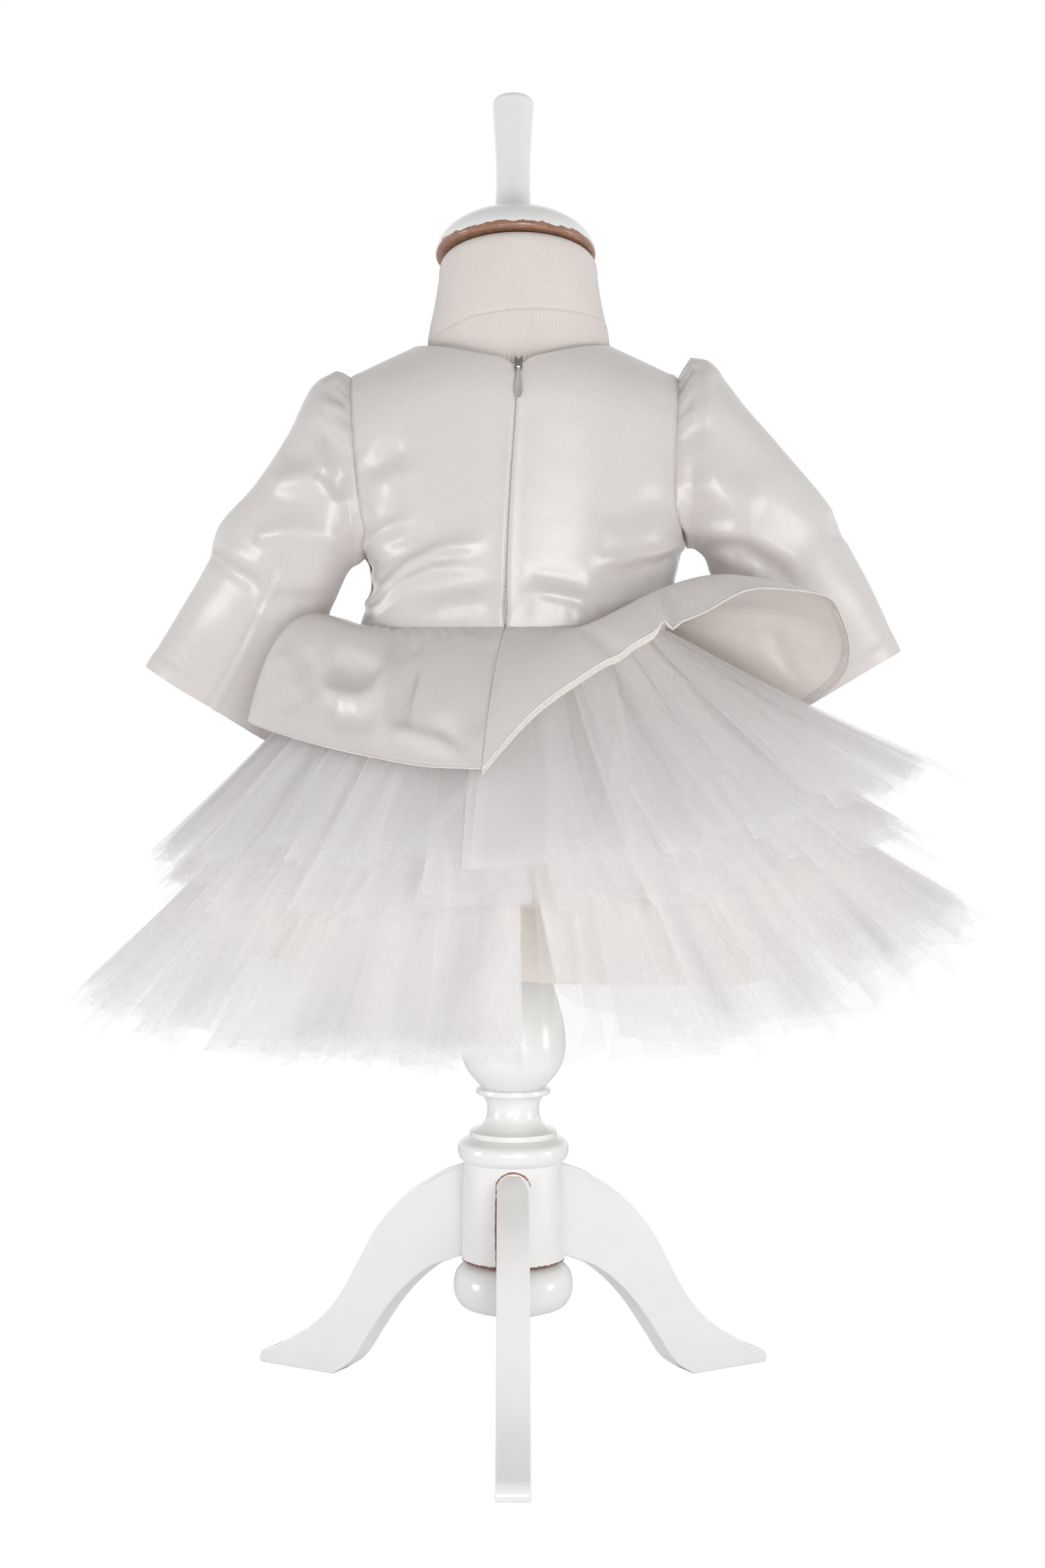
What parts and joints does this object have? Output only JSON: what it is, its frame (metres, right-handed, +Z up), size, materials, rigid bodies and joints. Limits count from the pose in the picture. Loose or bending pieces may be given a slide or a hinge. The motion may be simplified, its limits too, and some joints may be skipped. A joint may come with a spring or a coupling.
{
  "type": "christening gown on a limbless dress form with a turned wooden stand",
  "caption": "baby's long-sleeved satin gown with a flared peplum and pleated tulle skirt, open neck, cuffs and hem, on a limbless jersey form with a turned three-legged stand",
  "frame": {"origin": "on the floor under the middle of the stand, at the bottom centre of the bounding box", "axes": "+Z up, the gown's zipped back faces -Y, +X is to the right of someone who looks at its back"},
  "size_m": [0.5114, 0.4054, 0.7748],
  "materials": {
    "satin": "warm white duchess satin, soft sheen",
    "sleeve_satin": "warm white duchess satin, soft sheen",
    "peplum_satin": "warm white satin, lined with satin",
    "lining_satin": "thin warm white lining satin",
    "tulle": "pleated ivory tulle, matte and slightly sheer",
    "zip_metal": "nickel-plated zip metal",
    "zip_tape": "white woven zip tape",
    "cotton_jersey": "white ribbed cotton jersey over padding",
    "white_gloss_paint": "gloss white paint on turned wood, worn at a few edges"
  },
  "bodies": {
    "gown_and_stand": {"bodice_back_left": "satin", "bodice_back_right": "satin", "bodice_front": "satin", "sleeve_left": "sleeve_satin", "sleeve_right": "sleeve_satin", "peplum_left": "peplum_satin", "peplum_right": "peplum_satin", "lining_skirt": "lining_satin", "tulle_tier_top": "tulle", "tulle_tier_middle": "tulle", "tulle_tier_bottom": "tulle", "zip_chain": "zip_tape", "zip_slider": "zip_metal", "form_torso": "cotton_jersey", "neck_cap": "white_gloss_paint", "finial": "white_gloss_paint", "column": "white_gloss_paint", "bun_foot": "white_gloss_paint", "leg_front": "white_gloss_paint", "leg_back_left": "white_gloss_paint", "leg_back_right": "white_gloss_paint"},
    "pull_tab": {"zip_pull": "zip_metal"}
  },
  "joints": [
    {"name": "pull_hinge", "type": "hinge", "parent": "gown_and_stand", "child": "pull_tab", "pos_m": [0.003, -0.06252, 0.60081], "axis": [-1, 0, 0], "range_deg": [0, 140]}
  ]
}
